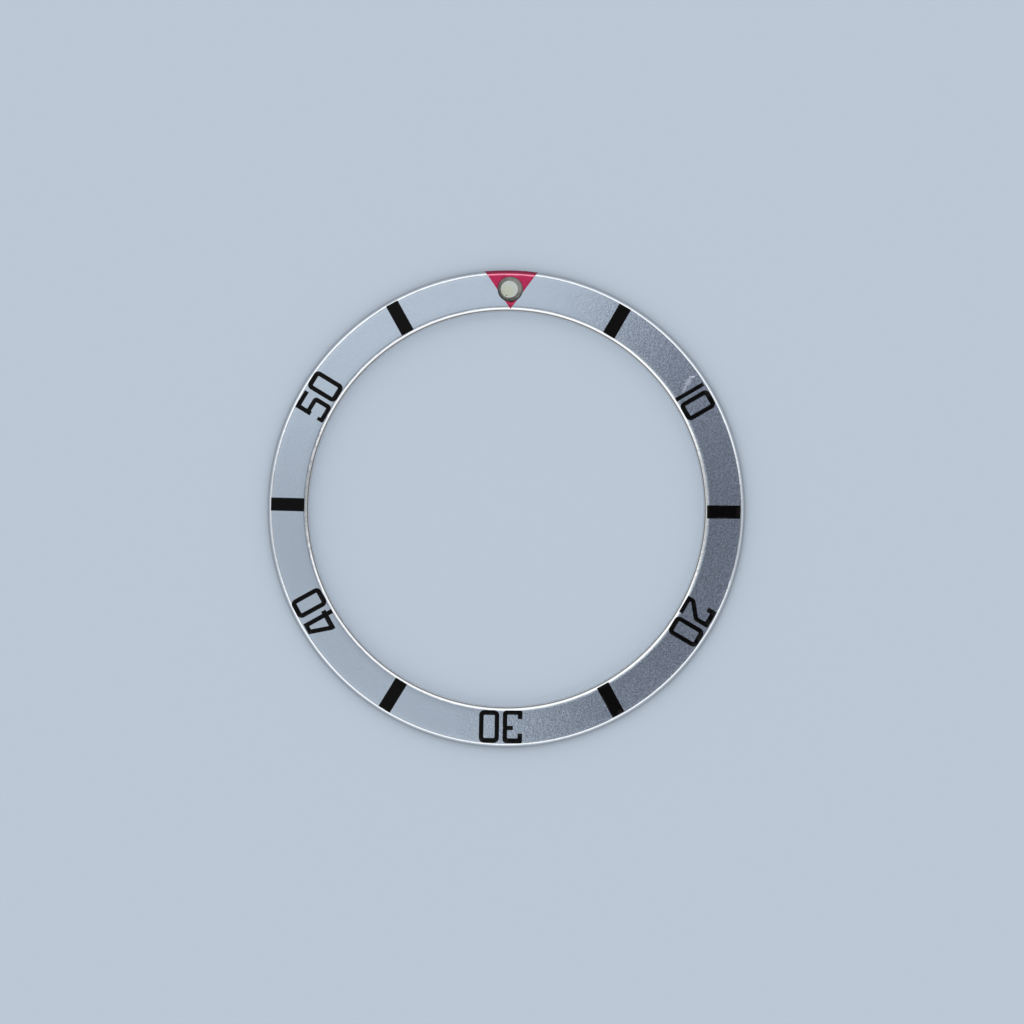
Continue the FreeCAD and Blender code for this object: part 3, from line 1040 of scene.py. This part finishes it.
class Workshop:
    """Geometry Nodes trees that turn and cut a section, and every material by its slot."""

    seam_gap = 0.0001

    def __init__(self) -> None:
        """Builds trees and materials once for all pieces."""
        self.full_turn = self.tree("turned piece", Cut.TAKE_AWAY)
        self.sector = self.tree("coat laid on the ring", Cut.KEEP_INSIDE)
        groups = {effect: effect.group() for effect in (Grain, Lines, Wear, Blemish)}
        finishes = (SatinAluminium(), BlackInk(), CrimsonLacquer(), PearlMetal(), LuminousFilling(), PearlGlass())
        self.materials = {finish.slot: finish.make(groups) for finish in finishes}

    def tree(self, name: str, cut: Cut) -> Tree:
        """Builds one turning tree.

        Args:
            name: The tree's name.
            cut: What the tool does to the turned form. Where it keeps the inside, only a sector is turned.

        Returns:
            The tree.
        """
        takes = {"Section": "Geometry", "Turning Steps": "Int", "Tool": "Object", "Finish": "Material"}
        takes |= numbers("Path Radius", "Start Angle", "Sweep Angle")
        group = Group(name, takes, {"Piece": "Geometry"}, "GeometryNodeTree")
        given = group.given
        profile = group.add("GeometryNodeMeshToCurve", {"Mesh": given["Section"]}).outputs[0]
        around = {"Resolution": given["Turning Steps"], "Radius": given["Path Radius"]}
        if cut is Cut.TAKE_AWAY:
            path = group.add("GeometryNodeCurvePrimitiveCircle", around, mode="RADIUS").outputs[0]
        else:
            around |= {"Start Angle": given["Start Angle"], "Sweep Angle": given["Sweep Angle"]}
            path = group.add("GeometryNodeCurveArc", around, mode="RADIUS").outputs[0]
        swept = {"Curve": path, "Profile Curve": profile, "Fill Caps": cut is Cut.KEEP_INSIDE}
        seam = {"Geometry": group.add("GeometryNodeCurveToMesh", swept).outputs[0], "Distance": self.seam_gap * MM}
        whole = group.add("GeometryNodeMergeByDistance", seam).outputs[0]
        shaped = group.add("GeometryNodeSetShadeSmooth", {"Geometry": whole}).outputs[0]
        tool = group.add("GeometryNodeObjectInfo", {"Object": given["Tool"]}).outputs["Geometry"]
        knife = group.add("GeometryNodeMeshBoolean", operation=cut.value, solver="MANIFOLD")
        if cut is Cut.TAKE_AWAY:
            group.feed(knife.inputs["Mesh 1"], shaped)
            group.feed(knife.inputs["Mesh 2"], tool)
        else:
            multi = next(socket for socket in knife.inputs if socket.is_multi_input)
            group.feed(multi, tool)
            group.feed(multi, shaped)
        real = group.add("GeometryNodeRealizeInstances", {"Geometry": knife.outputs["Mesh"]}).outputs[0]
        finish = {"Geometry": real, "Material": given["Finish"]}
        return group.finish(group.add("GeometryNodeSetMaterial", finish).outputs[0])

    def turn(self, job: Turning) -> Piece:
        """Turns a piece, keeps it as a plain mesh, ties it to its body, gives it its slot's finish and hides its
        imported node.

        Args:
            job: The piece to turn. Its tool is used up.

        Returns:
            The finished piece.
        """
        outline = job.section.outline(f"{job.name}_section", job.path_radius)
        finish = self.materials[job.slot]
        values = {"Path Radius": job.path_radius * MM, "Turning Steps": job.steps, "Tool": job.tool, "Finish": finish}
        if job.arc:
            values["Start Angle"], values["Sweep Angle"] = job.arc
        modifier = outline.modifiers.new("turning", "NODES")
        modifier.node_group = self.sector if job.arc else self.full_turn
        for item in modifier.node_group.interface.items_tree:
            if values.get(item.name) is not None:
                modifier[item.identifier] = values[item.name]
        outline.update_tag()
        bpy.context.view_layer.update()
        depsgraph = bpy.context.evaluated_depsgraph_get()
        mesh = bpy.data.meshes.new_from_object(outline.evaluated_get(depsgraph))
        outline.modifiers.clear()
        for used in filter(None, (outline, job.tool)):
            bpy.data.objects.remove(used)
        mesh.name = job.name
        mesh.materials.clear()
        mesh.materials.append(finish)
        mesh.polygons.foreach_set("material_index", [0] * len(mesh.polygons))
        mesh.polygons.foreach_set("use_smooth", [True] * len(mesh.polygons))
        mesh.set_sharp_from_angle(angle=math.radians(job.sharp_deg))
        mesh.transform(job.stand)
        piece = linked_object(job.name, mesh)
        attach(piece, "root")
        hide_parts(job.node)
        return piece


def rod(name: str, radius: float, low: float, high: float, steps: int) -> Piece:
    """Closed round bar about Z, used only as a cutting tool.

    Args:
        name: The tool's name.
        radius: Its radius in millimetres.
        low: Height of its foot.
        high: Height of its top.
        steps: Sides of the bar.

    Returns:
        The tool.
    """
    work = bmesh.new()
    size = {"radius1": radius * MM, "radius2": radius * MM, "depth": (high - low) * MM}
    place = Matrix.Translation((0.0, 0.0, (low + high) / 2 * MM))
    bmesh.ops.create_cone(work, cap_ends=True, segments=steps, matrix=place, **size)
    mesh = bpy.data.meshes.new(name)
    work.to_mesh(mesh)
    work.free()
    return linked_object(name, mesh)


@dataclass
class PrintedMarks:
    """The bars, numerals and triangle, each a thin coat that follows the ring's face and edges."""

    ring: Ring
    thickness: float = 0.03
    sunk: float = 0.004
    step_deg: float = 0.5
    least_steps: int = 4
    margin_deg: float = 1.5
    sharp_deg: float = 60.0
    stencil_rise: float = 1.5
    double_gap: float = 0.00001
    facing_up: float = 0.3

    def stencil(self, node: Piece) -> Piece:
        """Upright prism with a mark's own outline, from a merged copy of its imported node.

        Args:
            node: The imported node.

        Returns:
            The prism, which reaches well over and under the coat.
        """
        work = bmesh.new()
        work.from_mesh(node.data)
        bmesh.ops.remove_doubles(work, verts=work.verts, dist=self.double_gap * MM)
        work.normal_update()
        upper = {vert for face in work.faces if face.normal.z > self.facing_up for vert in face.verts}
        for vert in work.verts:
            vert.co.z = self.stencil_rise * MM if vert in upper else -self.stencil_rise * MM
        bmesh.ops.recalc_face_normals(work, faces=work.faces)
        mesh = bpy.data.meshes.new(f"{node.name}_stencil")
        work.to_mesh(mesh)
        work.free()
        return linked_object(mesh.name, mesh)

    def lay(self, name: str, slot: Slot, node: Piece, shop: Workshop) -> Piece:
        """Lays one coat over the ring inside its stencil.

        Args:
            name: The piece's name.
            slot: Its material slot.
            node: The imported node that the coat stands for.
            shop: The workshop.

        Returns:
            The piece.
        """
        stencil = self.stencil(node)
        points = [vert.co for vert in stencil.data.vertices]
        middle = sum(points, Vector()) / len(points)
        facing = math.atan2(middle.y, middle.x)
        reach = max(abs(math.remainder(math.atan2(p.y, p.x) - facing, math.tau)) for p in points)
        reach += math.radians(self.margin_deg)
        steps = max(self.least_steps, math.ceil(2 * math.degrees(reach) / self.step_deg))
        coat = (name, node.name, slot, self.ring.coat_section(self.thickness, self.sunk))
        arc = (facing - reach, 2 * reach)
        return shop.turn(Turning(*coat, self.ring.middle_radius, steps, self.sharp_deg, stencil, arc))

    def build(self, shop: Workshop, nodes: dict[str, Piece]) -> list[Piece]:
        """Lays every mark.

        Args:
            shop: The workshop.
            nodes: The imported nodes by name.

        Returns:
            The pieces.
        """
        inked = [name for name in sorted(nodes) if name.startswith(("bar_", "numeral_"))]
        laid = [self.lay(f"{name}_print", Slot.INK, nodes[name], shop) for name in inked]
        return laid + [self.lay("triangle_coat", Slot.LACQUER, nodes["triangle_lacquer"], shop)]


@dataclass(frozen=True)
class Shade:
    """A dark part of the dome: degrees clockwise from the picture's top, its soft edge, its depth."""

    clockwise_deg: float
    edge: Span
    depth: float


@dataclass
class Studio:
    """Pale table, soft dome of light and the camera straight over the ring."""

    turn_deg: float = 1.034
    aim: tuple[float, float] = (0.4549, -0.2257)
    distance: float = 350.0
    frame_width: float = 81.57
    sensor: float = 36.0
    clip_m: Span = (0.01, 20.0)
    table: Colour = rgb(0.498, 0.572, 0.661)
    table_reach_m: float = 1.5
    table_drop: float = 0.005
    table_roughness: float = 0.9
    light: float = 1.005
    dome_lean_deg: float = 3.0
    stops: tuple[Span, ...] = (
        (0.0, 0.54), (8.0, 0.55), (16.0, 0.618), (26.0, 0.93), (42.0, 1.27), (70.0, 1.17), (90.0, 0.85), (180.0, 0.6)
    )
    stops_top: float = 2.0
    near_top: Span = (23.0, 33.0, 1.0, 0.0)
    flag: Shade = Shade(102.0, (4.2, 7.0), 0.71)
    flag_hue: Colour = rgb(1.02, 1.01, 1.14)
    strips: tuple[Shade, ...] = (Shade(97.5, (0.950, 0.995), 0.66), Shade(267.0, (0.925, 0.990), 0.58))
    strips_begin: Span = (20.0, 30.0)
    strips_thin: Span = (52.0, 68.0, 1.0, 0.4)
    brighter_north: Span = (-5.0, 10.5, 0.0, 0.46)
    darker_side: Shade = Shade(105.0, (28.0, 50.0), 0.10)

    @property
    def picture_up(self) -> Vector:
        """The picture's upward direction in the part's frame."""
        turn = math.radians(self.turn_deg)
        return Vector((-math.sin(turn), math.cos(turn), 0.0))

    @property
    def picture_right(self) -> Vector:
        """The picture's rightward direction in the part's frame."""
        return Vector((self.picture_up.y, -self.picture_up.x, 0.0))

    def clockwise(self, degrees: float) -> Vector:
        """Level direction at an angle clockwise from the picture's top."""
        angle = math.radians(degrees)
        return self.picture_up * math.cos(angle) + self.picture_right * math.sin(angle)

    def lay_table(self) -> None:
        """Makes the table that the ring lies on."""
        reach, level = self.table_reach_m, -self.table_drop * MM
        mesh = bpy.data.meshes.new("table_top")
        corners = [(-reach, -reach, level), (reach, -reach, level), (reach, reach, level), (-reach, reach, level)]
        mesh.from_pydata(corners, [], [(0, 1, 2, 3)])
        table = linked_object("table_top", mesh)
        material = bpy.data.materials.new("pale_table")
        material.use_nodes = True
        look = material.node_tree.nodes["Principled BSDF"].inputs
        look["Base Color"].default_value = self.table
        look["Roughness"].default_value = self.table_roughness
        look["Specular IOR Level"].default_value = 0.0
        mesh.materials.append(material)

    def light_dome(self) -> None:
        """Makes the soft studio dome: brightest partway up, with a dark flag to the right of the lens."""
        world = bpy.data.worlds.new("studio_dome")
        world.use_nodes = True
        world.node_tree.nodes.clear()
        graph = Graph(world.node_tree)
        level_way = graph.add("ShaderNodeTexCoord").outputs["Generated"]
        tilt = {"Vector": level_way, "Axis": self.picture_right, "Angle": math.radians(self.dome_lean_deg)}
        way = graph.add("ShaderNodeVectorRotate", tilt, rotation_type="AXIS_ANGLE").outputs[0]
        from_top = graph.maths("DEGREES", graph.maths("ARCCOSINE", graph.axes(way)["Z"]))
        curve = graph.add("ShaderNodeFloatCurve", {"Value": graph.maths("DIVIDE", from_top, 180.0)})
        line = curve.mapping.curves[0].points
        first, *others, last = [(angle / 180.0, level / self.stops_top) for angle, level in self.stops]
        line[0].location, line[1].location = first, last
        for stop in others:
            line.new(*stop)
        curve.mapping.update()
        flag, shares = self.shades(graph, way, from_top)
        level = graph.times(curve.outputs[0], self.stops_top, *shares, self.light)
        hue = graph.tint(flag, rgb(1.0, 1.0, 1.0), self.flag_hue)
        backdrop = graph.add("ShaderNodeLightPath").outputs["Is Camera Ray"]
        lit = graph.add("ShaderNodeBackground", {"Color": hue, "Strength": level})
        plain = graph.add("ShaderNodeBackground", {"Color": self.table, "Strength": 1.0})
        both = graph.add("ShaderNodeMixShader", {0: backdrop, 1: lit.outputs[0], 2: plain.outputs[0]})
        graph.add("ShaderNodeOutputWorld", {"Surface": both.outputs[0]})
        bpy.context.scene.world = world

    def shades(self, graph: Graph, way: Socket, from_top: Socket) -> tuple[Socket, list[Socket]]:
        """Shares of the light that the flag, two dark strips and the uneven walls leave.

        Args:
            graph: The world's graph.
            way: The direction looked in.
            from_top: Degrees from straight up.

        Returns:
            The flag's mask and the shares.
        """

        def towards(degrees: float) -> Socket:
            """Cosine of the angle between the direction and a level one."""
            return graph.reach(way, self.clockwise(degrees))

        def lean(degrees: float) -> Socket:
            """Degrees that the direction leans towards a level one."""
            return graph.maths("DEGREES", graph.maths("ARCSINE", towards(degrees)))

        def less(depth: float, *masks: Socket) -> Socket:
            """Share that is left where masks take some light away."""
            return graph.maths("SUBTRACT", 1.0, graph.times(*masks, depth))

        near_top = graph.step(from_top, *self.near_top)
        flag = graph.times(graph.step(lean(self.flag.clockwise_deg), *self.flag.edge), near_top)
        north = graph.times(graph.step(lean(0.0), *self.brighter_north), near_top)
        side = self.darker_side
        slant = graph.times(towards(side.clockwise_deg), graph.step(from_top, *side.edge))
        shares = [less(self.flag.depth, flag), graph.maths("ADD", 1.0, north), less(side.depth, slant)]
        reach = graph.times(graph.step(from_top, *self.strips_begin), graph.step(from_top, *self.strips_thin))
        level = graph.maths("SINE", graph.maths("RADIANS", graph.maths("MAXIMUM", from_top, 1.0)))
        for strip in self.strips:
            aside = graph.maths("DIVIDE", towards(strip.clockwise_deg), level)
            shares.append(less(strip.depth, graph.step(aside, *strip.edge), reach))
        return flag, shares

    def set_camera(self) -> None:
        """Places the camera straight over the ring and makes it the scene's own."""
        data = bpy.data.cameras.new("overhead_camera")
        data.sensor_width = self.sensor
        data.lens = self.sensor * self.distance / self.frame_width
        data.clip_start, data.clip_end = self.clip_m
        camera = linked_object("overhead_camera", data)
        place = Matrix.Translation(Vector((*self.aim, self.distance)) * MM)
        camera.matrix_world = place @ Matrix.Rotation(math.radians(self.turn_deg), 4, "Z")
        bpy.context.scene.camera = camera

    def build(self) -> None:
        """Sets up table, light and camera."""
        self.lay_table()
        self.light_dome()
        self.set_camera()
        bpy.context.scene.view_settings.view_transform = "Standard"


def main() -> None:
    """Builds the insert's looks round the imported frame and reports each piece."""
    logging.basicConfig(level=logging.INFO, format="%(name)s: %(message)s")
    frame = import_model()
    shop = Workshop()
    ring = Ring()
    pearl = Pearl(ring)
    pieces = [ring.build(shop, pearl.drill()), *pearl.build(shop)]
    pieces += PrintedMarks(ring).build(shop, frame["nodes"])
    Studio().build()
    for piece in pieces:
        log.info("%s: %d faces of %s", piece.name, len(piece.data.polygons), piece.data.materials[0].name)


if __name__ == "__main__":
    main()
